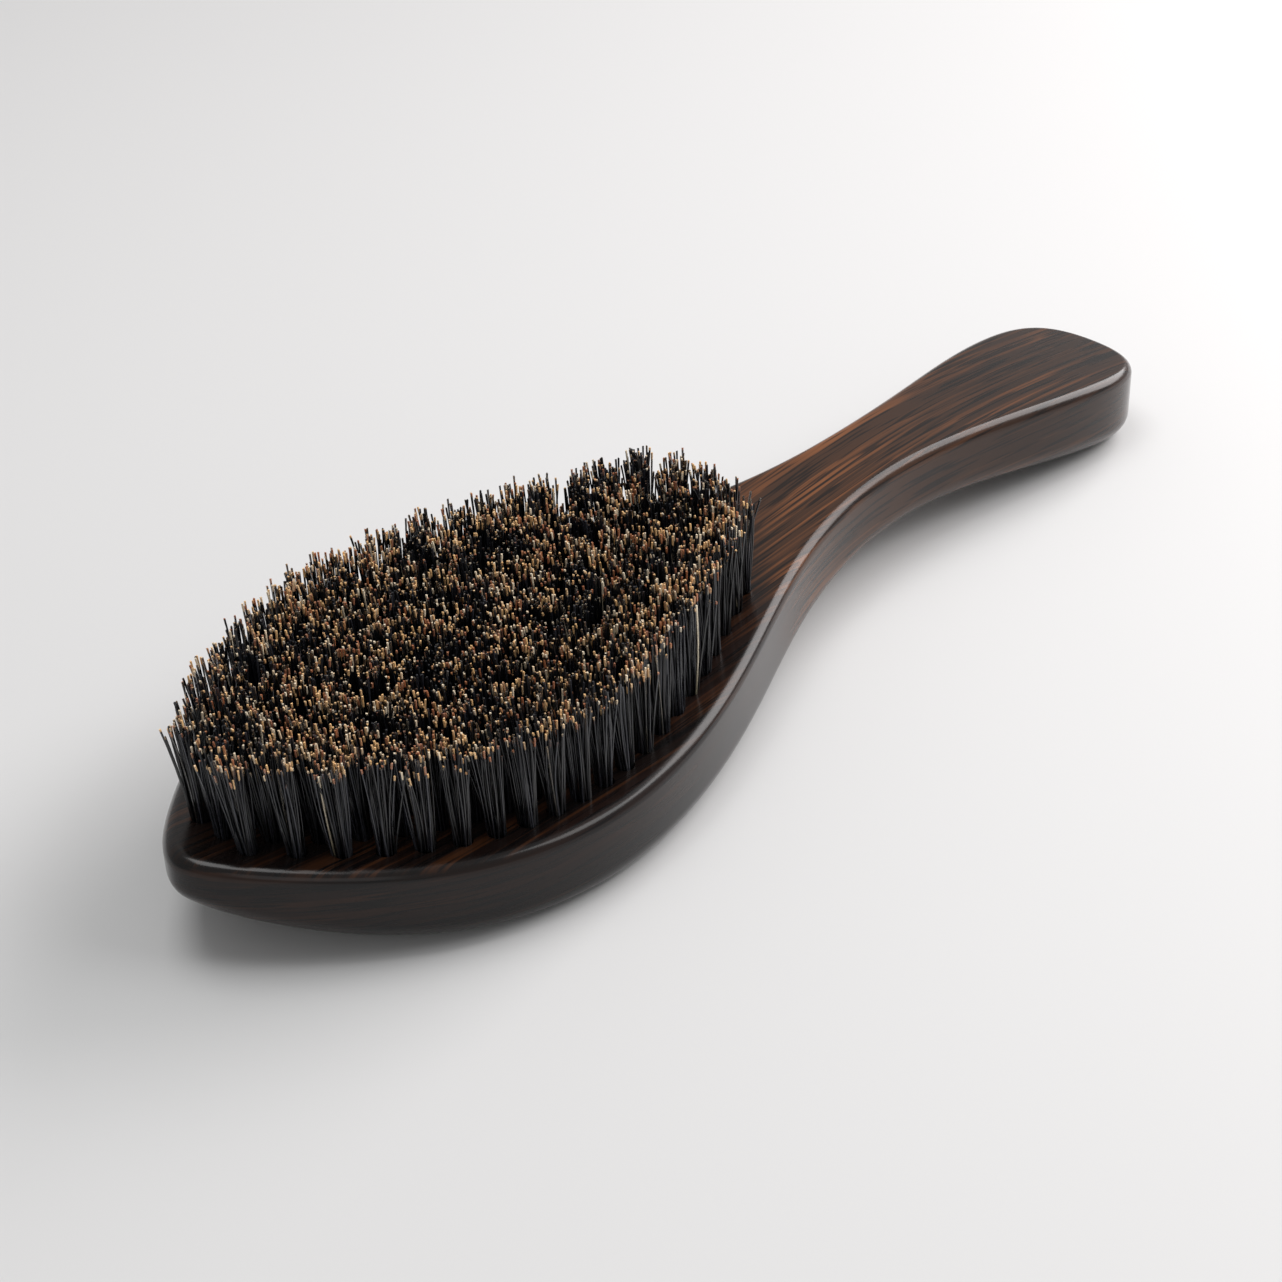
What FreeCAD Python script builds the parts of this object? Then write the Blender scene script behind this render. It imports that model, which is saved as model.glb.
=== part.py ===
import FreeCAD, Part
import os

V = FreeCAD.Vector

# Overall sizes, in millimetres. x runs from the nose of the head to the handle's end.
LENGTH = 220.0
TOP_ROUND = 2.0
BACK_ROUND = 4.2

# Control points of the smooth plan outline: distance from the nose, half width.
OUTLINE = [
    (0, 0), (0, 3.6), (8, 13), (29, 30.2), (54, 36.7), (78, 32.1), (100, 23.1), (122, 12.4),
    (145, 7.6), (172, 9.9), (202.5, 16), (220, 13.3), (220, 0),
]
# Control points of the bristle face and of the back in side view, a little past both ends.
FACE_LINE = [
    (-8, 20.6), (16, 15.2), (48, 13.2), (84, 13.7), (118, 17.1), (150, 19.4), (178, 17.8),
    (204, 15.7), (228, 11.7),
]
BACK_LINE = [
    (-8, 17.6), (2, 8.0), (24, 0), (50, -0.8), (84, -1.3), (118, 1.0), (150, 6.9),
    (178, 4.9), (204, 0.8), (228, -2.9),
]

# Bristle field: cross rows of tufts, leaned along the length and bowed towards the handle.
ROWS = 21
FIRST_ROW = 9.6
LAST_ROW = 108.0
TUFT_PITCH = 5.1
NOSE_MARGIN = 5.9
HEEL_MARGIN = 7.1
NOSE_LEAN = -4.5
HEEL_LEAN = -4.0
HEEL_BOW = 3.8

# One tuft: a bundle folded over a flat wire anchor at the bottom of a blind hole.
HOLE_RADIUS = 1.5
HOLE_DEPTH = 6.5
ROOT_RADIUS = 1.48
TIP_RADIUS = 2.35
BRISTLE_LENGTH = 17.2
ANCHOR_LENGTH = 3.4
ANCHOR_HEIGHT = 1.6
ANCHOR_THICKNESS = 0.4
ANCHOR_ABOVE_FLOOR = 0.7


def smooth_curve(poles):
    """Smooth cubic curve that follows its control points and starts and ends on them."""
    spans = len(poles) - 3
    curve = Part.BSplineCurve()
    curve.buildFromPolesMultsKnots(
        poles, [4] + [1] * (spans - 1) + [4], list(range(spans + 1)), False, 3
    )
    return curve


def side_outline(side):
    """Half of the plan outline, from the nose to the handle's end."""
    return smooth_curve([V(x, side * y, 0) for x, y in OUTLINE])


def profile_line(stations):
    """Line of the face or of the back in the middle plane."""
    return smooth_curve([V(x, 0, z) for x, z in stations])


def at_length(curve, x):
    """Point and direction of a curve where it passes x."""
    low = curve.FirstParameter
    high = curve.LastParameter
    for _ in range(50):
        middle = (low + high) / 2
        if curve.value(middle).x < x:
            low = middle
        else:
            high = middle
    return curve.value(low), curve.tangent(low)[0]


def wooden_blank():
    """The wood before drilling: the plan outline cut to the curved side profile."""
    left = side_outline(1)
    right = side_outline(-1)
    plan = Part.Face(Part.Wire([left.toShape(), right.toShape()]))
    plan.translate(V(0, 0, -20))
    column = plan.extrude(V(0, 0, 70))

    face = profile_line(FACE_LINE)
    back = profile_line(BACK_LINE)
    ends = [
        Part.makeLine(face.value(face.FirstParameter), back.value(back.FirstParameter)),
        Part.makeLine(face.value(face.LastParameter), back.value(back.LastParameter)),
    ]
    rim = Part.Wire(Part.__sortEdges__([face.toShape(), back.toShape()] + ends))
    profile = Part.Face(rim)
    profile.translate(V(0, -50, 0))
    slab = profile.extrude(V(0, 100, 0))
    return column.common(slab).Solids[0]


def rim_edges(body, stations, tolerance=0.05):
    """Edges of the body that lie on the face line or on the back line."""
    line = profile_line(stations)
    found = []
    for edge in body.Edges:
        first = edge.FirstParameter
        last = edge.LastParameter
        points = [edge.valueAt(first + (last - first) * k / 6.0) for k in range(7)]
        gaps = [abs(p.z - at_length(line, p.x)[0].z) for p in points if 0.5 < p.x < LENGTH - 0.5]
        if gaps and max(gaps) < tolerance:
            found.append(edge)
    return found


def rounded_body():
    """The blank with its face rim and its back edge rounded over."""
    body = wooden_blank()
    body = body.makeFillet(TOP_ROUND, rim_edges(body, FACE_LINE))
    body = body.makeFillet(BACK_ROUND, rim_edges(body, BACK_LINE))
    return body


def row_places():
    """For each cross row: its lean and the mouths of its holes on the face."""
    outline = side_outline(1)
    face = profile_line(FACE_LINE)
    rows = []
    for i in range(ROWS):
        share = i / (ROWS - 1.0)
        x = FIRST_ROW + (LAST_ROW - FIRST_ROW) * share
        edge, direction = at_length(outline, x)
        margin = NOSE_MARGIN + (HEEL_MARGIN - NOSE_MARGIN) * share ** 2
        span = edge.y - margin / max(abs(direction.x), 0.5)
        count = max(2, int(round(2 * span / TUFT_PITCH)) + 1)
        mouths = []
        for k in range(count):
            across = 2 * k / (count - 1.0) - 1
            along = x + HEEL_BOW * share ** 2 * (1 - across ** 2)
            mouths.append(V(along, across * span, at_length(face, along)[0].z))
        rows.append((NOSE_LEAN + (HEEL_LEAN - NOSE_LEAN) * share, mouths))
    return rows


def placed(shape, lean, mouth):
    """A shape made about the Z axis, leaned along the length and set on its hole's mouth."""
    turned = shape.copy()
    turned.Placement = FreeCAD.Placement(mouth, FreeCAD.Rotation(V(0, 1, 0), lean))
    return turned


def hole():
    tool = Part.makeCylinder(HOLE_RADIUS, HOLE_DEPTH + 4, V(0, 0, -HOLE_DEPTH))
    return tool


def anchor():
    """Short piece of flat wire across the hole; its ends bite into the wood."""
    corner = V(-ANCHOR_THICKNESS / 2, -ANCHOR_LENGTH / 2, -HOLE_DEPTH + ANCHOR_ABOVE_FLOOR)
    return Part.makeBox(ANCHOR_THICKNESS, ANCHOR_LENGTH, ANCHOR_HEIGHT, corner)


def tuft():
    """Bundle of bristles: straight in the hole, spreading above it to a domed brush of tips."""
    floor = -HOLE_DEPTH + 0.05
    section = [
        V(0, 0, floor),
        V(ROOT_RADIUS - 0.3, 0, floor),
        V(ROOT_RADIUS, 0, floor + 0.3),
        V(ROOT_RADIUS, 0, 0),
        V(ROOT_RADIUS + 0.58 * (TIP_RADIUS - ROOT_RADIUS), 0, 0.45 * BRISTLE_LENGTH),
        V(TIP_RADIUS, 0, BRISTLE_LENGTH - 0.9),
        V(0.75 * TIP_RADIUS, 0, BRISTLE_LENGTH - 0.25),
        V(0.35 * TIP_RADIUS, 0, BRISTLE_LENGTH),
        V(0, 0, BRISTLE_LENGTH),
        V(0, 0, floor),
    ]
    half = Part.Face(Part.makePolygon(section))
    bundle = half.revolve(V(0, 0, 0), V(0, 0, 1), 360)
    return bundle.cut(anchor()).Solids[0]


def export(shape, name):
    shape.exportStep("parts/" + name + ".step")


def build():
    os.makedirs("parts", exist_ok=True)
    rows = row_places()
    body = rounded_body()
    home = V(-LENGTH / 2, 0, -body.optimalBoundingBox(False, False).ZMin)

    holes = [placed(hole(), lean, mouth) for lean, mouths in rows for mouth in mouths]
    body = body.cut(Part.Compound(holes)).Solids[0]
    body.translate(home)
    export(body, "brush_body")

    one_tuft = tuft()
    one_anchor = anchor()
    for number, (lean, mouths) in enumerate(rows, start=1):
        for shape, name in ((one_tuft, "tuft_row"), (one_anchor, "anchor_row")):
            group = Part.Compound([placed(shape, lean, mouth) for mouth in mouths])
            group.translate(home)
            export(group, "%s_%02d" % (name, number))
    return body


build()
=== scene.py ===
"""Beard brush: lacquered wooden body, fanned bristle tufts on flat wire anchors, and a pale studio."""

import math

import bmesh
import bpy
from mathutils import Matrix, Vector


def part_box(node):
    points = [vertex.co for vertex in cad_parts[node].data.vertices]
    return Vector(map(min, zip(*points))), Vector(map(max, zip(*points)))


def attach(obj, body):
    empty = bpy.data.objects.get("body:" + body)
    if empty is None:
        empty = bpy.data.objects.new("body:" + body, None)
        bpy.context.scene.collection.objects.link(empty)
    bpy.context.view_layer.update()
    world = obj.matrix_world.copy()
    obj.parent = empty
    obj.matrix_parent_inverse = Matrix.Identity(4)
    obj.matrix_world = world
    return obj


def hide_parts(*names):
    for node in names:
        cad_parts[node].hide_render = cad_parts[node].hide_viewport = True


bl_info = {
    "name": "Beard Brush",
    "version": (1, 0, 0),
    "blender": (4, 5, 0),
    "location": "View3D > Sidebar > Beard Brush",
    "description": "Builds a lacquered wooden beard brush with bristle tufts",
    "category": "Object",
}

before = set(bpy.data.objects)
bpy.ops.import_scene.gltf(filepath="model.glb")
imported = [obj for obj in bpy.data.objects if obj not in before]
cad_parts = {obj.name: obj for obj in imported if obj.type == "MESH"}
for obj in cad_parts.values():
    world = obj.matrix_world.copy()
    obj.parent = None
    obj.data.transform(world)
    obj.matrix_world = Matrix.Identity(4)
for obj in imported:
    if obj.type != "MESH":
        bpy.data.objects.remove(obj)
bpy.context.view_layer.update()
TUFT_ROWS = sorted(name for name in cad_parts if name.startswith("tuft_row_"))
ANCHOR_ROWS = sorted(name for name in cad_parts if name.startswith("anchor_row_"))


# Poles of the body's lines, in millimetres from the nose: half of the outline, the face that
# carries the bristles and the back. Each is a clamped cubic B-spline.
OUTLINE = (
    (0, 0), (0, 3.6), (8, 13), (29, 30.2), (54, 36.7), (78, 32.1), (100, 23.1),
    (122, 12.4), (145, 7.6), (172, 9.9), (202.5, 16), (220, 13.3), (220, 0),
)
FACE_LINE = (
    (-8, 20.6), (16, 15.2), (48, 13.2), (84, 13.7), (118, 17.1),
    (150, 19.4), (178, 17.8), (204, 15.7), (228, 11.7),
)
BACK_LINE = (
    (-8, 17.6), (2, 8.0), (24, 0), (50, -0.8), (84, -1.3),
    (118, 1.0), (150, 6.9), (178, 4.9), (204, 0.8), (228, -2.9),
)


MM_PER_METRE = 1000
# A small step of a line's share, for the line's direction.
NUDGE = 1e-4
BRUSH_MIDDLE = Vector((0.0, 0.0, 0.01))


# Sizes and colours


class WoodSettings(bpy.types.PropertyGroup):
    """The wooden body and its lacquer."""

    dark: bpy.props.FloatVectorProperty(
        name="Dark wood",
        description="Colour of the darkest bands of the grain",
        default=(0.0018, 0.0017, 0.0020),
        subtype="COLOR",
        min=0.0,
        max=1.0,
    )
    brown: bpy.props.FloatVectorProperty(
        name="Brown wood",
        description="Colour of the ground between the dark bands",
        default=(0.0085, 0.0042, 0.0036),
        subtype="COLOR",
        min=0.0,
        max=1.0,
    )
    warm: bpy.props.FloatVectorProperty(
        name="Warm wood",
        description="Colour that the grip's ground leans towards",
        default=(0.070, 0.029, 0.013),
        subtype="COLOR",
        min=0.0,
        max=1.0,
    )
    streak: bpy.props.FloatVectorProperty(
        name="Streaks",
        description="Colour of the fine red-brown streaks",
        default=(0.235, 0.082, 0.027),
        subtype="COLOR",
        min=0.0,
        max=1.0,
    )
    band_width: bpy.props.FloatProperty(
        name="Band width",
        description="Usual width of a band of the grain",
        default=0.0026,
        unit="LENGTH",
    )
    streak_width: bpy.props.FloatProperty(
        name="Streak width",
        description="Usual width of a fine streak",
        default=0.00062,
        unit="LENGTH",
    )
    pore_width: bpy.props.FloatProperty(
        name="Pore width",
        description="Usual width of a pore line",
        default=0.00035,
        unit="LENGTH",
    )
    face_round: bpy.props.FloatProperty(
        name="Face rounding",
        description="Radius of the edge between the side and the bristle face",
        default=0.002,
        unit="LENGTH",
    )
    back_round: bpy.props.FloatProperty(
        name="Back rounding",
        description="Radius of the edge between the side and the back",
        default=0.0042,
        unit="LENGTH",
    )
    hole_radius: bpy.props.FloatProperty(
        name="Hole radius",
        description="Radius of the blind hole that takes a tuft",
        default=0.0015,
        unit="LENGTH",
    )
    hole_depth: bpy.props.FloatProperty(
        name="Hole depth",
        description="Depth of the blind hole below the face",
        default=0.0065,
        unit="LENGTH",
    )
    lacquer_roughness: bpy.props.FloatProperty(
        name="Lacquer roughness",
        description="Roughness of the lacquer film",
        default=0.18,
        subtype="FACTOR",
        min=0.0,
        max=1.0,
    )


class BristleSettings(bpy.types.PropertyGroup):
    """The bristles of a tuft."""

    root_depth: bpy.props.FloatProperty(
        name="Root depth",
        description="Depth of a tuft's root below the wooden face",
        default=0.00645,
        unit="LENGTH",
    )
    strands: bpy.props.IntProperty(
        name="Bristles in a tuft",
        description="Number of bristles that stand out of one hole",
        default=42,
        min=4,
    )
    thickness: bpy.props.FloatProperty(
        name="Bristle radius",
        description="Radius of a bristle near its root",
        default=0.00020,
        unit="LENGTH",
    )
    root_radius: bpy.props.FloatProperty(
        name="Root spread",
        description="Radius of the tuft where it leaves its hole",
        default=0.00142,
        unit="LENGTH",
    )
    tip_radius: bpy.props.FloatProperty(
        name="Tip spread",
        description="Radius of the tuft at its tips",
        default=0.00235,
        unit="LENGTH",
    )
    unevenness: bpy.props.FloatProperty(
        name="Unevenness",
        description="How much shorter than the longest some bristles are, as a share",
        default=0.19,
        subtype="FACTOR",
        min=0.0,
        max=1.0,
    )
    stray: bpy.props.FloatProperty(
        name="Stray",
        description="How far the few loose bristles lean out; more at the heel row",
        default=0.9,
        min=0.0,
    )
    black: bpy.props.FloatVectorProperty(
        name="Shaft",
        description="Colour of the bristle's shaft",
        default=(0.0020, 0.0021, 0.0028),
        subtype="COLOR",
        min=0.0,
        max=1.0,
    )
    # Paler shaft colour: partly paler bristles, partly a painted sheen of light on glossy ones.
    sheen_grey: bpy.props.FloatVectorProperty(
        name="Greyest shaft",
        description="Colour of the palest of the dark bristles",
        default=(0.034, 0.036, 0.046),
        subtype="COLOR",
        min=0.0,
        max=1.0,
    )
    amber: bpy.props.FloatVectorProperty(
        name="Amber tip",
        description="Colour of the common tips",
        default=(1.0, 0.62, 0.28),
        subtype="COLOR",
        min=0.0,
        max=1.0,
    )
    rust: bpy.props.FloatVectorProperty(
        name="Rust tip",
        description="Colour of the redder tips",
        default=(0.42, 0.15, 0.065),
        subtype="COLOR",
        min=0.0,
        max=1.0,
    )
    cream: bpy.props.FloatVectorProperty(
        name="Cream tip",
        description="Colour of the palest tips and of the few pale bristles",
        default=(1.0, 0.86, 0.64),
        subtype="COLOR",
        min=0.0,
        max=1.0,
    )
    # Neutral colour mixed into some tips as a painted glint of light.
    painted_glint: bpy.props.FloatVectorProperty(
        name="Dull tip",
        description="Colour that the tips without shine lean towards",
        default=(0.15, 0.13, 0.13),
        subtype="COLOR",
        min=0.0,
        max=1.0,
    )
    straw: bpy.props.FloatVectorProperty(
        name="Straw",
        description="Colour of the few pale bristles at their root",
        default=(0.11, 0.10, 0.06),
        subtype="COLOR",
        min=0.0,
        max=1.0,
    )
    clumps: bpy.props.FloatProperty(
        name="Clumps",
        description="How many clumps of paler or darker tips there are in a metre",
        default=130.0,
        min=0.0,
    )
    seed: bpy.props.IntProperty(
        name="Seed",
        description="Fixed seed of everything uneven in the tufts",
        default=7,
    )


class StudioSettings(bpy.types.PropertyGroup):
    """Floor, lights and camera."""

    floor: bpy.props.FloatVectorProperty(
        name="Floor",
        description="Colour of the pale floor",
        default=(0.64, 0.64, 0.64),
        subtype="COLOR",
        min=0.0,
        max=1.0,
    )
    daylight: bpy.props.FloatProperty(
        name="Daylight",
        description="Strength of the even light from all round",
        default=0.38,
        min=0.0,
    )
    azimuth: bpy.props.FloatProperty(
        name="Azimuth",
        description="Turn of the camera round the brush",
        default=math.radians(-44.35),
        subtype="ANGLE",
    )
    elevation: bpy.props.FloatProperty(
        name="Elevation",
        description="Height of the camera over the brush",
        default=math.radians(34.88),
        subtype="ANGLE",
    )
    roll: bpy.props.FloatProperty(
        name="Roll",
        description="Tilt of the camera about its own axis",
        default=math.radians(-2.01),
        subtype="ANGLE",
    )
    distance: bpy.props.FloatProperty(
        name="Distance",
        description="Distance from the camera to the point it looks at",
        default=0.44154,
        unit="LENGTH",
    )
    target: bpy.props.FloatVectorProperty(
        name="Look at",
        description="Point that the camera looks at",
        default=(-0.01569, -0.0011, 0.0090),
        subtype="XYZ",
        unit="LENGTH",
    )
    focal_length: bpy.props.FloatProperty(
        name="Focal length",
        description="Focal length of the lens, in millimetres",
        default=75.06,
    )


# Helpers for node trees and meshes


def put(tree, kind, inputs=None, **settings):
    """Adds a node, sets its options and fills or links its inputs."""
    node = tree.nodes.new(kind)
    for key, value in settings.items():
        setattr(node, key, value)
    for key, value in (inputs or {}).items():
        socket = node.inputs[key]
        if isinstance(value, bpy.types.NodeSocket):
            tree.links.new(value, socket)
        else:
            socket.default_value = value
    return node


def math_of(tree, operation, *values):
    """Result of a Math node on numbers or sockets."""
    kind = "ShaderNodeMath"
    return put(tree, kind, dict(enumerate(values)), operation=operation).outputs[0]


def vector_of(tree, operation, *values, scale=None):
    """Result of a Vector Math node; SCALE takes its factor apart."""
    inputs = dict(enumerate(values))
    if scale is not None:
        inputs["Scale"] = scale
    node = put(tree, "ShaderNodeVectorMath", inputs, operation=operation)
    return node.outputs["Value" if operation == "LENGTH" else "Vector"]


def new_material(name):
    """An empty node material, its tree and its surface shader."""
    material = bpy.data.materials.new(name)
    material.use_nodes = True
    tree = material.node_tree
    tree.nodes.clear()
    shader = put(tree, "ShaderNodeBsdfPrincipled")
    put(tree, "ShaderNodeOutputMaterial", {"Surface": shader.outputs["BSDF"]})
    return material, tree, shader


def colour_ramp(tree, factor, stops, interpolation="EASE"):
    """Colours or greys at the given places of a ramp."""
    node = put(tree, "ShaderNodeValToRGB", {"Fac": factor})
    ramp = node.color_ramp
    ramp.interpolation = interpolation
    while len(ramp.elements) < len(stops):
        ramp.elements.new(0.5)
    for element, (place, colour) in zip(ramp.elements, stops):
        element.position = place
        shade = colour if isinstance(colour, tuple) else (colour, colour, colour)
        element.color = (*shade, 1.0)
    return node.outputs["Color"]


def mix_colours(tree, factor, first, second):
    """Mixes two colours, each a socket or a tuple, by a factor."""
    ends = [(*end, 1.0) if isinstance(end, tuple) else end for end in (first, second)]
    inputs = {0: factor, 6: ends[0], 7: ends[1]}
    return put(tree, "ShaderNodeMix", inputs, data_type="RGBA").outputs[2]


def ranged(tree, value, low, high, first, last, interpolation="LINEAR"):
    """Maps a value between low and high to between first and last."""
    inputs = {0: value, 1: low, 2: high, 3: first, 4: last}
    return put(tree, "ShaderNodeMapRange", inputs, interpolation_type=interpolation).outputs[0]


def noise_of(tree, vector, **options):
    """Factor of a noise texture; options are its inputs."""
    return put(tree, "ShaderNodeTexNoise", {"Vector": vector, **options}).outputs["Fac"]


def add_piece(name, mesh):
    """Links a mesh to the scene as an object at the origin."""
    piece = bpy.data.objects.new(name, mesh)
    bpy.context.scene.collection.objects.link(piece)
    return piece


def on_spline(poles, share):
    """Point at a share of a clamped cubic B-spline's parameter range."""
    spans = len(poles) - 3
    knots = [0] * 3 + list(range(spans + 1)) + [spans] * 3
    t = min(share * spans, spans - 1e-9)
    first = int(t)
    near = [Vector(poles[first + j]) for j in range(4)]
    for level in (1, 2, 3):
        for j in range(3, level - 1, -1):
            low, high = knots[first + j], knots[first + j + 4 - level]
            part = (t - low) / (high - low)
            near[j] = near[j - 1].lerp(near[j], part)
    return near[3]


def height_at(poles, x):
    """Height and slope of a side line at a distance from the nose."""
    low, high = 0.0, 1.0
    for _ in range(40):
        middle = (low + high) / 2
        if on_spline(poles, middle).x < x:
            low = middle
        else:
            high = middle
    step = on_spline(poles, low + NUDGE) - on_spline(poles, low - NUDGE)
    return on_spline(poles, low).y, step.y / step.x


def tufts_of(node, root_depth):
    """Mouth and full reach of each tuft in a row, read from its solids."""
    crown_depth, foot_depth = 0.0002, 0.00025
    joined = bmesh.new()
    joined.from_mesh(node.data)
    bmesh.ops.remove_doubles(joined, verts=joined.verts, dist=2e-6)
    seen = set()
    tufts = []
    for start in joined.verts:
        if start in seen:
            continue
        seen.add(start)
        waiting = [start]
        island = []
        while waiting:
            vertex = waiting.pop()
            island.append(vertex.co.copy())
            for edge in vertex.link_edges:
                other = edge.other_vert(vertex)
                if other not in seen:
                    seen.add(other)
                    waiting.append(other)
        top = max(p.z for p in island)
        low = min(p.z for p in island)
        crown = [p for p in island if p.z > top - crown_depth]
        foot = [p for p in island if p.z < low + foot_depth]
        tip = sum(crown, Vector()) / len(crown)
        root = sum(foot, Vector()) / len(foot)
        mouth = root + (tip - root).normalized() * root_depth
        tufts.append((mouth, tip - mouth))
    joined.free()
    return sorted(tufts, key=lambda tuft: tuft[0].y)


# Wood


def grain_group():
    """Shader group: streaky grain that runs along X, with pores."""
    group = bpy.data.node_groups.new("Streaky grain", "ShaderNodeTree")
    sockets = group.interface
    for name in ("Band width", "Streak width", "Pore width"):
        sockets.new_socket(name, in_out="INPUT", socket_type="NodeSocketFloat")
    for name in ("Bands", "Streaks", "Pores", "Side"):
        sockets.new_socket(name, in_out="OUTPUT", socket_type="NodeSocketFloat")
    given = put(group, "NodeGroupInput")
    place = put(group, "ShaderNodeTexCoord").outputs["Object"]

    # A slow drift bends the lines a little off the straight.
    slow = vector_of(group, "MULTIPLY", place, (7.0, 14.0, 14.0))
    drift = put(group, "ShaderNodeTexNoise", {"Vector": slow, "Scale": 1.0, "Detail": 2.0})
    centred = vector_of(group, "SUBTRACT", drift.outputs["Color"], (0.5, 0.5, 0.5))
    shifted = vector_of(
        group, "ADD", place, vector_of(group, "MULTIPLY", centred, (0.0, 0.006, 0.006))
    )

    # The sides are cut along the fibres too, so their lines follow the wall.
    facing = put(group, "ShaderNodeNewGeometry").outputs["Normal"]
    facing_up = put(group, "ShaderNodeSeparateXYZ", {0: facing}).outputs["Z"]
    upward = math_of(group, "ABSOLUTE", facing_up)
    side = ranged(group, upward, 0.45, 0.85, 1.0, 0.0)

    def lines(width, length, detail, seed):
        """Noise drawn out along X, with a separate cut for the faces and for the sides."""
        across = math_of(group, "DIVIDE", 1.0, width)
        slight = math_of(group, "MULTIPLY", across, 0.06)
        found = []
        for fine_y, fine_z in ((across, slight), (slight, across)):
            finer = {"X": 1.0 / length, "Y": fine_y, "Z": fine_z}
            stretch = put(group, "ShaderNodeCombineXYZ", finer)
            scaled = vector_of(group, "MULTIPLY", shifted, stretch.outputs[0])
            moved = vector_of(group, "ADD", scaled, (seed, seed * 1.7, seed * 0.6))
            found.append(noise_of(group, moved, Scale=0.5, Detail=detail, Roughness=0.62))
        return put(group, "ShaderNodeMix", {0: side, 2: found[0], 3: found[1]}).outputs[0]

    bands = lines(given.outputs["Band width"], length=0.20, detail=2.5, seed=3.1)
    streaks = lines(given.outputs["Streak width"], length=0.11, detail=2.4, seed=11.7)
    pores = lines(given.outputs["Pore width"], length=0.008, detail=1.5, seed=23.9)
    found = {"Bands": bands, "Streaks": streaks, "Pores": pores, "Side": side}
    put(group, "NodeGroupOutput", found)
    return group


def lacquered_wood(look):
    """Dark streaky wood under a gloss lacquer."""
    material, tree, shader = new_material("Lacquered dark wood")
    grain = put(tree, "ShaderNodeGroup", node_tree=grain_group())
    grain.inputs["Band width"].default_value = look.band_width
    grain.inputs["Streak width"].default_value = look.streak_width
    grain.inputs["Pore width"].default_value = look.pore_width
    place = put(tree, "ShaderNodeTexCoord").outputs["Object"]
    along = put(tree, "ShaderNodeSeparateXYZ", {0: place}).outputs["X"]

    # The grip, and most of all the waist beside the bristles, is warmer than the head.
    warm = ranged(tree, along, -0.006, 0.014, 0.08, 1.0, "SMOOTHSTEP")
    cool = ranged(tree, along, 0.035, 0.085, 1.0, 0.42, "SMOOTHSTEP")
    warmth = math_of(tree, "MULTIPLY", warm, cool)

    ground = colour_ramp(
        tree, grain.outputs["Bands"], [(0.36, tuple(look.dark)), (0.62, tuple(look.brown))]
    )
    warm_ground = mix_colours(tree, warmth, ground, tuple(look.warm))
    ground = mix_colours(tree, 0.60, ground, warm_ground)
    # Streaks gather in long patches and leave others nearly black.
    stretched = vector_of(tree, "MULTIPLY", place, (22.0, 90.0, 90.0))
    patches = noise_of(tree, stretched, Scale=1.0, Detail=3.0)
    patch_mask = colour_ramp(tree, patches, [(0.38, 0.25), (0.62, 1.0)])
    streak_mask = colour_ramp(tree, grain.outputs["Streaks"], [(0.48, 0.0), (0.62, 1.0)])
    streak_mask = math_of(tree, "MULTIPLY", streak_mask, patch_mask)
    warm_share = math_of(tree, "MULTIPLY_ADD", warmth, 0.80, 0.10)
    streak_share = math_of(tree, "MULTIPLY", streak_mask, warm_share)
    plain_side = math_of(tree, "MULTIPLY_ADD", grain.outputs["Side"], -0.60, 1.0)
    streak_share = math_of(tree, "MULTIPLY", streak_share, plain_side)
    coloured = mix_colours(tree, streak_share, ground, tuple(look.streak))
    pore_mask = colour_ramp(tree, grain.outputs["Pores"], [(0.39, 1.0), (0.50, 0.0)])
    pore_share = math_of(tree, "MULTIPLY", pore_mask, 0.80)
    darkened = mix_colours(tree, pore_share, coloured, tuple(look.dark))
    tree.links.new(darkened, shader.inputs["Base Color"])

    rough = ranged(tree, grain.outputs["Bands"], 0.0, 1.0, 0.34, 0.50)
    tree.links.new(rough, shader.inputs["Roughness"])
    streak_relief = math_of(tree, "MULTIPLY", grain.outputs["Streaks"], 0.5)
    relief = math_of(tree, "MULTIPLY_ADD", grain.outputs["Pores"], 0.5, streak_relief)
    fine_relief = {"Height": relief, "Strength": 0.10, "Distance": 0.00006}
    bump = put(tree, "ShaderNodeBump", fine_relief)
    tree.links.new(bump.outputs[0], shader.inputs["Normal"])
    shader.inputs["Specular IOR Level"].default_value = 0.05
    shader.inputs["Coat Weight"].default_value = 1.0
    shader.inputs["Coat Roughness"].default_value = look.lacquer_roughness
    shader.inputs["Coat IOR"].default_value = 1.36
    return material


def section(share, look, quarter=9, wall=4):
    """Half section of the body at a share of its outline, from the face to the back."""
    point = on_spline(OUTLINE, share)
    after = on_spline(OUTLINE, min(share + NUDGE, 1.0))
    ahead = after - on_spline(OUTLINE, max(share - NUDGE, 0.0))
    out = Vector((-ahead.y, ahead.x, 0.0)).normalized()
    if share in (0.0, 1.0):
        out = Vector((2 * share - 1, 0.0, 0.0))
    rounds = []
    for poles, radius, up in (
        (FACE_LINE, look.face_round * MM_PER_METRE, 1),
        (BACK_LINE, look.back_round * MM_PER_METRE, -1),
    ):
        # The rounding rolls along the side; where it meets the line is found in a few steps.
        centre = Vector((point.x, point.y, 0.0)) - out * radius
        touch = centre.x
        for _ in range(4):
            height, slope = height_at(poles, touch)
            flat = Vector((-slope, 0.0, 1.0)).normalized() * up
            touch = centre.x + radius * flat.x
        centre.z = height - radius * flat.z
        bend = out.angle(flat)
        arc = []
        for i in range(quarter + 1):
            part = i / quarter
            way = (math.sin((1 - part) * bend) * flat + math.sin(part * bend) * out) / math.sin(bend)
            arc.append(centre + radius * way)
        rounds.append(arc)
    face, back = rounds[0], list(reversed(rounds[1]))
    side = [face[-1].lerp(back[0], i / wall) for i in range(1, wall)]
    return face + side + back


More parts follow.
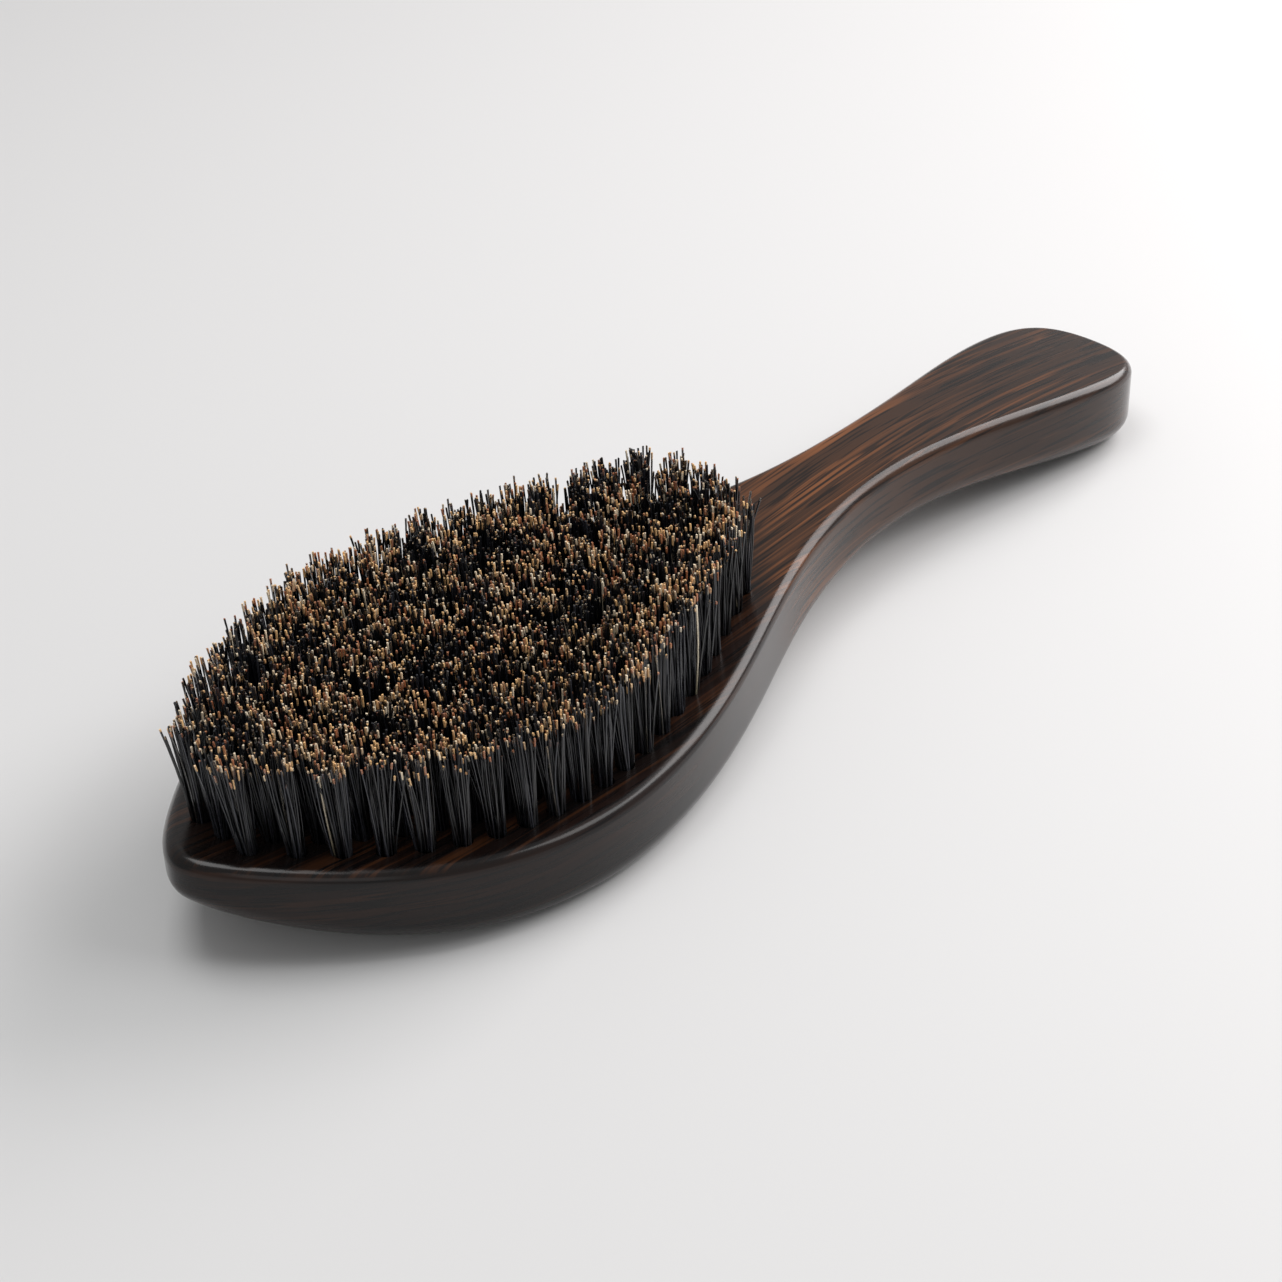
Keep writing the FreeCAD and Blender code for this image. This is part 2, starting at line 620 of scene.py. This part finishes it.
def body_skin(look, cuts=150):
    """Closed even grid of the wooden body: sections of the outline joined in strips."""
    # Sections lie closer together at the nose and at the butt, where the outline turns most.
    even = [i / cuts for i in range(cuts + 1)]
    shares = [0.55 * part + 0.45 * (0.5 - 0.5 * math.cos(math.pi * part)) for part in even]
    halves = [section(share, look) for share in shares]
    skin = bmesh.new()
    rings = []
    for index, half in enumerate(halves):
        left = [skin.verts.new(p / MM_PER_METRE) for p in half]
        if index in (0, cuts):
            rings.append((left, left))
            continue
        mirrored = [Vector((p.x, -p.y, p.z)) for p in half]
        right = [skin.verts.new(p / MM_PER_METRE) for p in mirrored]
        rings.append((left, right))
    for (left, right), (next_left, next_right) in zip(rings, rings[1:]):
        for a, b, c, d in zip(left, left[1:], next_left[1:], next_left):
            skin.faces.new((a, d, c, b))
        for a, b, c, d in zip(right, right[1:], next_right[1:], next_right):
            skin.faces.new((a, b, c, d))
        for corner, order in ((0, 1), (-1, -1)):
            ring = [left[corner], next_left[corner], next_right[corner], right[corner]]
            ring = list(dict.fromkeys(ring))
            skin.faces.new(ring[::-order])
    bmesh.ops.recalc_face_normals(skin, faces=skin.faces)
    mesh = bpy.data.meshes.new("lacquered_body")
    skin.to_mesh(mesh)
    skin.free()
    # The lines start at the nose, so the skin is moved to where the CAD body begins.
    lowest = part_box("brush_body")[0]
    shift_x = lowest[0] - min(v.co.x for v in mesh.vertices)
    shift_z = lowest[2] - min(v.co.z for v in mesh.vertices)
    mesh.transform(Matrix.Translation((shift_x, 0.0, shift_z)))
    return mesh


def drills(look, root_depth):
    """One mesh of pegs, one for each tuft's blind hole."""
    above = 0.002
    pegs = bmesh.new()
    for row in TUFT_ROWS:
        for mouth, reach in tufts_of(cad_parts[row], root_depth):
            way = reach.normalized()
            turn = way.to_track_quat("Z", "Y").to_matrix().to_4x4()
            middle = mouth + way * (above - look.hole_depth) / 2
            bmesh.ops.create_cone(
                pegs,
                cap_ends=True,
                segments=20,
                radius1=look.hole_radius,
                radius2=look.hole_radius,
                depth=look.hole_depth + above,
                matrix=Matrix.Translation(middle) @ turn,
            )
    mesh = bpy.data.meshes.new("drills")
    pegs.to_mesh(mesh)
    pegs.free()
    return mesh


class BRUSH_OT_wooden_body(bpy.types.Operator):
    """Gives the wooden body a smooth lacquered skin"""

    bl_idname = "brush.wooden_body"
    bl_label = "Wooden Body"

    def execute(self, context):
        look = context.scene.brush_wood
        piece = add_piece("lacquered_body", body_skin(look))
        uncut = len(piece.data.polygons)
        drill = add_piece("drill", drills(look, context.scene.brush_bristles.root_depth))
        holes = piece.modifiers.new("Holes", "BOOLEAN")
        holes.operation = "DIFFERENCE"
        holes.solver = "EXACT"
        holes.object = drill
        mesh = plain_mesh(piece, "lacquered_body")
        bpy.data.objects.remove(drill)
        if len(mesh.polygons) <= uncut:
            raise RuntimeError("the holes were not cut into the wooden body")
        mesh.polygons.foreach_set("use_smooth", [True] * len(mesh.polygons))
        mesh.set_sharp_from_angle(angle=math.radians(40))
        smooth = piece.modifiers.new("Even shading", "WEIGHTED_NORMAL")
        smooth.mode = "FACE_AREA"
        smooth.weight = 100
        smooth.keep_sharp = True
        plain_mesh(piece, "lacquered_body")
        piece.data.materials.clear()
        piece.data.materials.append(lacquered_wood(look))
        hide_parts("brush_body")
        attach(piece, "root")
        return {"FINISHED"}


# Bristles


def bristle_material(look):
    """Glossy black hair that turns amber, rust or cream at its tip."""
    material, tree, shader = new_material("Boar bristle")
    along = put(tree, "ShaderNodeAttribute", attribute_name="along").outputs["Fac"]
    strand = put(tree, "ShaderNodeAttribute", attribute_name="strand").outputs["Fac"]
    # Each bristle's own number gives it three chances: its tip's hue and start, and its paleness,
    # which also sets its painted sheen and painted glint.
    number = math_of(tree, "MULTIPLY", strand, 917.0)
    dice = put(tree, "ShaderNodeTexWhiteNoise", {"W": number}, noise_dimensions="1D")
    parts = put(tree, "ShaderNodeSeparateColor", {0: dice.outputs["Color"]})
    hue, start, pale = parts.outputs[0], parts.outputs[1], parts.outputs[2]

    tip_colour = colour_ramp(
        tree,
        hue,
        [
            (0.0, tuple(look.rust)),
            (0.26, tuple(look.rust)),
            (0.38, tuple(look.amber)),
            (0.70, tuple(look.amber)),
            (0.86, tuple(look.cream)),
        ],
        "LINEAR",
    )
    # Paler bristles get a lighter shaft, partly their own tone and partly a painted sheen.
    sheen_grey = math_of(tree, "POWER", pale, 3.0)
    shaft = mix_colours(tree, sheen_grey, tuple(look.black), tuple(look.sheen_grey))
    # Some tips are mixed towards a neutral colour, a painted glint of light; the others keep their
    # colour.
    painted_glint = math_of(tree, "POWER", pale, 1.5)
    painted_glint_share = math_of(tree, "MULTIPLY", painted_glint, 0.35)
    tip_colour = mix_colours(tree, painted_glint_share, tip_colour, tuple(look.painted_glint))
    # Tips are paler in some clumps than in others.
    place = put(tree, "ShaderNodeTexCoord").outputs["Object"]
    clumps = noise_of(tree, place, Scale=look.clumps, Detail=1.0)
    shift = ranged(tree, clumps, 0.35, 0.65, -0.035, 0.05)
    tip_from = math_of(tree, "ADD", ranged(tree, start, 0.0, 1.0, 0.905, 1.045), shift)
    tip_full = math_of(tree, "ADD", tip_from, 0.018)
    tip = ranged(tree, along, tip_from, tip_full, 0.0, 1.0, "SMOOTHSTEP")
    coloured = mix_colours(tree, tip, shaft, tip_colour)
    all_pale = math_of(tree, "GREATER_THAN", pale, 0.988)
    straw = mix_colours(tree, along, tuple(look.straw), tuple(look.cream))
    painted = mix_colours(tree, all_pale, coloured, straw)
    tree.links.new(painted, shader.inputs["Base Color"])
    rough = ranged(tree, start, 0.0, 1.0, 0.18, 0.40)
    tree.links.new(rough, shader.inputs["Roughness"])
    shader.inputs["Specular IOR Level"].default_value = 0.75
    shader.inputs["IOR"].default_value = 1.55
    return material


def tuft_tree():
    """Geometry nodes: a bundle of uneven bristles on each point, along the point's reach."""
    tree = bpy.data.node_groups.new("Bristle tufts", "GeometryNodeTree")
    tree.is_modifier = True
    for name, kind in (
        ("Geometry", "Geometry"),
        ("Bristles", "Int"),
        ("Bristle radius", "Float"),
        ("Root spread", "Float"),
        ("Tip spread", "Float"),
        ("Unevenness", "Float"),
        ("Stray", "Float"),
        ("Seed", "Int"),
        ("Material", "Material"),
    ):
        tree.interface.new_socket(name, in_out="INPUT", socket_type="NodeSocket" + kind)
    tree.interface.new_socket("Geometry", in_out="OUTPUT", socket_type="NodeSocketGeometry")
    given = put(tree, "NodeGroupInput").outputs

    def keep(geometry, name, value, kind):
        """Stores a value on the points under a name."""
        inputs = {"Geometry": geometry, "Name": name, "Value": value}
        return put(tree, "GeometryNodeStoreNamedAttribute", inputs, data_type=kind).outputs[0]

    def read(name, kind="FLOAT_VECTOR"):
        """A value stored under a name."""
        inputs = {"Name": name}
        return put(tree, "GeometryNodeInputNamedAttribute", inputs, data_type=kind).outputs[0]

    def dice(low, high, step, kind="FLOAT"):
        """An even random value; each step has its own seed."""
        seed = math_of(tree, "ADD", given["Seed"], step)
        node = put(tree, "FunctionNodeRandomValue", {"Seed": seed}, data_type=kind)
        first = 0 if kind == "FLOAT_VECTOR" else 2
        node.inputs[first].default_value = low
        node.inputs[first + 1].default_value = high
        return node.outputs[0 if kind == "FLOAT_VECTOR" else 1]

    # Each tuft leans a little its own way.
    sway = dice((-0.035, -0.035, -0.01), (0.035, 0.035, 0.01), 1, "FLOAT_VECTOR")
    points = keep(given["Geometry"], "sway", sway, "FLOAT_VECTOR")
    points = put(tree, "GeometryNodeMeshToPoints", {"Mesh": points}).outputs[0]
    points = put(
        tree,
        "GeometryNodeDuplicateElements",
        {"Geometry": points, "Amount": given["Bristles"]},
        domain="POINT",
    ).outputs[0]

    reach = read("reach")
    axis = vector_of(tree, "NORMALIZE", reach)
    length = vector_of(tree, "LENGTH", reach)
    side = vector_of(tree, "NORMALIZE", vector_of(tree, "CROSS_PRODUCT", axis, (0.0, 1.0, 0.0)))
    front = vector_of(tree, "CROSS_PRODUCT", side, axis)
    turn = dice(0.0, 2.0 * math.pi, 2)
    out = math_of(tree, "SQRT", dice(0.0, 1.0, 3))
    sideways = vector_of(tree, "SCALE", side, scale=math_of(tree, "COSINE", turn))
    forwards = vector_of(tree, "SCALE", front, scale=math_of(tree, "SINE", turn))
    spoke = vector_of(tree, "ADD", sideways, forwards)
    root_out = math_of(tree, "MULTIPLY", out, given["Root spread"])
    root = vector_of(tree, "SCALE", spoke, scale=root_out)
    tip_out = math_of(tree, "MULTIPLY", out, given["Tip spread"])
    crown = vector_of(tree, "SCALE", spoke, scale=tip_out)
    # A few bristles stray well out of their bundle.
    stray = math_of(tree, "POWER", dice(0.0, 1.0, 8), 14.0)
    wild = math_of(tree, "MULTIPLY_ADD", stray, given["Stray"], 0.32)
    any_way = dice((-1.0, -1.0, -0.2), (1.0, 1.0, 0.2), 4, "FLOAT_VECTOR")
    how_far = math_of(tree, "MULTIPLY", given["Tip spread"], wild)
    loose = vector_of(tree, "SCALE", any_way, scale=how_far)
    swayed = vector_of(tree, "SCALE", read("sway"), scale=length)
    tip = vector_of(tree, "ADD", vector_of(tree, "ADD", crown, loose), swayed)
    uneven = math_of(tree, "POWER", dice(0.0, 1.0, 5), 1.8)
    shorter = math_of(tree, "MULTIPLY", uneven, given["Unevenness"])
    share = math_of(tree, "SUBTRACT", 1.02, shorter)
    bend_way = dice((-1.0, -1.0, 0.0), (1.0, 1.0, 0.0), 6, "FLOAT_VECTOR")
    bow = vector_of(tree, "SCALE", bend_way, scale=math_of(tree, "MULTIPLY", length, 0.022))
    for name, value, kind in (
        ("root", root, "FLOAT_VECTOR"),
        ("tip", tip, "FLOAT_VECTOR"),
        ("bow", bow, "FLOAT_VECTOR"),
        ("share", share, "FLOAT"),
        ("strand", dice(0.0, 1.0, 7), "FLOAT"),
        ("mouth", put(tree, "GeometryNodeInputPosition").outputs[0], "FLOAT_VECTOR"),
    ):
        points = keep(points, name, value, kind)

    # A straight line of six points stands for each bristle until it gets its own course.
    line = put(tree, "GeometryNodeCurvePrimitiveLine", {"End": (0, 0, 0.01)}).outputs[0]
    line = put(tree, "GeometryNodeResampleCurve", {"Curve": line, "Count": 6}).outputs[0]
    lines = {"Points": points, "Instance": line}
    strands = put(tree, "GeometryNodeInstanceOnPoints", lines).outputs[0]
    strands = put(tree, "GeometryNodeRealizeInstances", {"Geometry": strands}).outputs[0]
    along = put(tree, "GeometryNodeSplineParameter").outputs["Factor"]
    strands = keep(strands, "along", along, "FLOAT")

    along = read("along", "FLOAT")
    # The root starts inside the hole, and the bundle spreads above the face.
    sunk = 0.06
    whole = math_of(tree, "ADD", read("share", "FLOAT"), sunk)
    height = math_of(tree, "MULTIPLY_ADD", along, whole, -sunk)
    climb = vector_of(tree, "SCALE", read("reach"), scale=height)
    ends = {0: math_of(tree, "POWER", along, 1.15), 4: read("root"), 5: read("tip")}
    spread = put(tree, "ShaderNodeMix", ends, data_type="VECTOR").outputs[1]
    arch = math_of(tree, "SINE", math_of(tree, "MULTIPLY", along, math.pi))
    bowed = vector_of(tree, "SCALE", read("bow"), scale=arch)
    on_axis = vector_of(tree, "ADD", read("mouth"), climb)
    place = vector_of(tree, "ADD", on_axis, vector_of(tree, "ADD", spread, bowed))
    placed = {"Geometry": strands, "Position": place}
    strands = put(tree, "GeometryNodeSetPosition", placed).outputs[0]
    # A bristle thins towards its tip, where its split end opens again.
    split = math_of(tree, "MULTIPLY", math_of(tree, "POWER", along, 30.0), 0.24)
    taper = math_of(tree, "ADD", math_of(tree, "MULTIPLY_ADD", along, -0.22, 1.0), split)
    radius = math_of(tree, "MULTIPLY", taper, given["Bristle radius"])
    ring = put(tree, "GeometryNodeCurvePrimitiveCircle", {"Resolution": 3}).outputs[0]
    tube = {"Curve": strands, "Profile Curve": ring, "Scale": radius, "Fill Caps": True}
    solid = put(tree, "GeometryNodeCurveToMesh", tube).outputs[0]
    solid = put(tree, "GeometryNodeSetShadeSmooth", {"Geometry": solid}).outputs[0]
    solid = put(tree, "GeometryNodeRealizeInstances", {"Geometry": solid}).outputs[0]
    dressed = {"Geometry": solid, "Material": given["Material"]}
    solid = put(tree, "GeometryNodeSetMaterial", dressed).outputs[0]
    put(tree, "NodeGroupOutput", {"Geometry": solid})
    return tree


def give_inputs(modifier, values):
    """Sets a node modifier's inputs by their identifiers."""
    for item in modifier.node_group.interface.items_tree:
        if item.item_type == "SOCKET" and item.in_out == "INPUT" and item.name in values:
            modifier[item.identifier] = values[item.name]


def plain_mesh(piece, name):
    """The evaluated piece as a plain mesh; its modifiers are removed."""
    bpy.context.view_layer.update()
    seen = piece.evaluated_get(bpy.context.evaluated_depsgraph_get())
    mesh = bpy.data.meshes.new_from_object(seen)
    mesh.name = name
    piece.modifiers.clear()
    piece.data = mesh
    return mesh


class BRUSH_OT_bristles(bpy.types.Operator):
    """Fills each row of holes with tufts of bristles"""

    bl_idname = "brush.bristles"
    bl_label = "Bristle Rows"

    def execute(self, context):
        look = context.scene.brush_bristles
        tree = tuft_tree()
        hair = bristle_material(look)
        for number, row in enumerate(TUFT_ROWS):
            tufts = tufts_of(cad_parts[row], look.root_depth)
            mesh = bpy.data.meshes.new("bristles")
            mesh.from_pydata([mouth for mouth, _ in tufts], [], [])
            reach = mesh.attributes.new("reach", "FLOAT_VECTOR", "POINT")
            for index, (_, way) in enumerate(tufts):
                reach.data[index].vector = way
            piece = add_piece(row.replace("tuft", "bristle"), mesh)
            modifier = piece.modifiers.new("Bristles", "NODES")
            modifier.node_group = tree
            give_inputs(
                modifier,
                {
                    "Bristles": look.strands,
                    "Bristle radius": look.thickness,
                    "Root spread": look.root_radius,
                    "Tip spread": look.tip_radius,
                    "Unevenness": look.unevenness,
                    "Stray": look.stray * (2.2 if row == TUFT_ROWS[-1] else 1.0),
                    "Seed": look.seed + 100 * number,
                    "Material": hair,
                },
            )
            mesh = plain_mesh(piece, piece.name)
            if not mesh.polygons:
                raise RuntimeError("no bristles grew on " + row)
            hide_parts(row)
            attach(piece, "root")
        return {"FINISHED"}


# Anchors


def wire_material():
    """Drawn flat steel wire."""
    material, tree, shader = new_material("Drawn flat wire")
    place = put(tree, "ShaderNodeTexCoord").outputs["Object"]
    scaled = vector_of(tree, "MULTIPLY", place, (9000.0, 600.0, 9000.0))
    lines = noise_of(tree, scaled, Scale=1.0, Detail=3.0)
    tint = colour_ramp(tree, lines, [(0.3, (0.36, 0.35, 0.34)), (0.7, (0.62, 0.61, 0.60))])
    tree.links.new(tint, shader.inputs["Base Color"])
    rough = ranged(tree, lines, 0.0, 1.0, 0.25, 0.45)
    tree.links.new(rough, shader.inputs["Roughness"])
    scratches = {"Height": lines, "Strength": 0.2, "Distance": 0.00001}
    bump = put(tree, "ShaderNodeBump", scratches)
    tree.links.new(bump.outputs[0], shader.inputs["Normal"])
    shader.inputs["Metallic"].default_value = 1.0
    return material


class BRUSH_OT_anchors(bpy.types.Operator):
    """Gives the tufts' wire anchors their metal"""

    bl_idname = "brush.anchors"
    bl_label = "Wire Anchors"

    def execute(self, context):
        wire = wire_material()
        for row in ANCHOR_ROWS:
            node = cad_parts[row]
            node.data.materials.clear()
            node.data.materials.append(wire)
        return {"FINISHED"}


# Studio


def soft_light(name, size, place, power, tint=(1.0, 1.0, 1.0)):
    """A rectangular soft light that faces the middle of the brush."""
    lamp = bpy.data.lights.new(name, "AREA")
    lamp.shape = "RECTANGLE"
    lamp.size, lamp.size_y = size
    lamp.energy = power
    lamp.color = tint
    holder = bpy.data.objects.new(name, lamp)
    bpy.context.scene.collection.objects.link(holder)
    holder.location = place
    holder.rotation_euler = (BRUSH_MIDDLE - holder.location).to_track_quat("-Z", "Y").to_euler()


def studio_camera(look):
    """Camera at the viewing angle, with its roll in its own frame."""
    a, e, r = look.azimuth, look.elevation, look.roll
    back = Vector((math.sin(a) * math.cos(e), -math.cos(a) * math.cos(e), math.sin(e)))
    level = Vector((math.cos(a), math.sin(a), 0.0))
    rise = back.cross(level)
    right = level * math.cos(r) + rise * math.sin(r)
    up = rise * math.cos(r) - level * math.sin(r)
    spot = Vector(look.target) + back * look.distance
    lens = bpy.data.cameras.new("Studio camera")
    lens.lens = look.focal_length
    lens.sensor_width = 36.0
    lens.clip_start = 0.01
    lens.clip_end = 20.0
    camera = bpy.data.objects.new("Studio camera", lens)
    bpy.context.scene.collection.objects.link(camera)
    camera.matrix_world = Matrix(
        (
            (right.x, up.x, back.x, spot.x),
            (right.y, up.y, back.y, spot.y),
            (right.z, up.z, back.z, spot.z),
            (0.0, 0.0, 0.0, 1.0),
        )
    )
    bpy.context.scene.camera = camera


class BRUSH_OT_studio(bpy.types.Operator):
    """Sets the pale floor, the soft lights and the camera"""

    bl_idname = "brush.studio"
    bl_label = "Studio"

    def execute(self, context):
        look = context.scene.brush_studio
        half = 3.0
        corners = [(-half, -half, 0), (half, -half, 0), (half, half, 0), (-half, half, 0)]
        mesh = bpy.data.meshes.new("floor")
        mesh.from_pydata(corners, [], [(0, 1, 2, 3)])
        floor = add_piece("floor", mesh)
        material, _, shader = new_material("Pale floor")
        shader.inputs["Base Color"].default_value = (*look.floor, 1.0)
        shader.inputs["Roughness"].default_value = 0.6
        floor.data.materials.append(material)

        world = bpy.data.worlds.new("Pale studio")
        world.use_nodes = True
        background = world.node_tree.nodes["Background"]
        background.inputs["Color"].default_value = (1.0, 1.0, 1.0, 1.0)
        background.inputs["Strength"].default_value = look.daylight
        context.scene.world = world

        context.scene.view_settings.view_transform = "Standard"
        soft_light("Overhead", (0.40, 0.34), (-0.12, 0.10, 0.75), 1.9)
        soft_light("Right side", (0.62, 0.52), (0.66, -0.10, 0.44), 6.2, tint=(1.0, 0.965, 0.96))
        soft_light("Front right", (0.40, 0.30), (0.30, -0.44, 0.60), 1.5)
        soft_light("Left front", (0.4, 0.4), (-0.55, -0.55, 0.45), 0.3)
        studio_camera(look)
        return {"FINISHED"}


class BRUSH_PT_panel(bpy.types.Panel):
    """Lists the steps and the settings of the brush"""

    bl_idname = "BRUSH_PT_panel"
    bl_label = "Beard Brush"
    bl_space_type = "VIEW_3D"
    bl_region_type = "UI"
    bl_category = "Beard Brush"

    def draw(self, context):
        for name in STEPS:
            self.layout.operator("brush." + name)
        for settings in (
            context.scene.brush_wood,
            context.scene.brush_bristles,
            context.scene.brush_studio,
        ):
            column = self.layout.box().column()
            for name in settings.__annotations__:
                column.prop(settings, name)


STEPS = ("studio", "wooden_body", "anchors", "bristles")
CLASSES = (
    WoodSettings,
    BristleSettings,
    StudioSettings,
    BRUSH_OT_studio,
    BRUSH_OT_wooden_body,
    BRUSH_OT_anchors,
    BRUSH_OT_bristles,
    BRUSH_PT_panel,
)


def register():
    """Makes the settings, the steps and the panel known to Blender."""
    for kind in CLASSES:
        bpy.utils.register_class(kind)
    bpy.types.Scene.brush_wood = bpy.props.PointerProperty(type=WoodSettings)
    bpy.types.Scene.brush_bristles = bpy.props.PointerProperty(type=BristleSettings)
    bpy.types.Scene.brush_studio = bpy.props.PointerProperty(type=StudioSettings)


def unregister():
    """Takes the settings, the steps and the panel away again."""
    del bpy.types.Scene.brush_wood
    del bpy.types.Scene.brush_bristles
    del bpy.types.Scene.brush_studio
    for kind in reversed(CLASSES):
        bpy.utils.unregister_class(kind)


def main():
    """Runs every step."""
    register()
    for name in STEPS:
        getattr(bpy.ops.brush, name)()


if __name__ == "__main__":
    main()
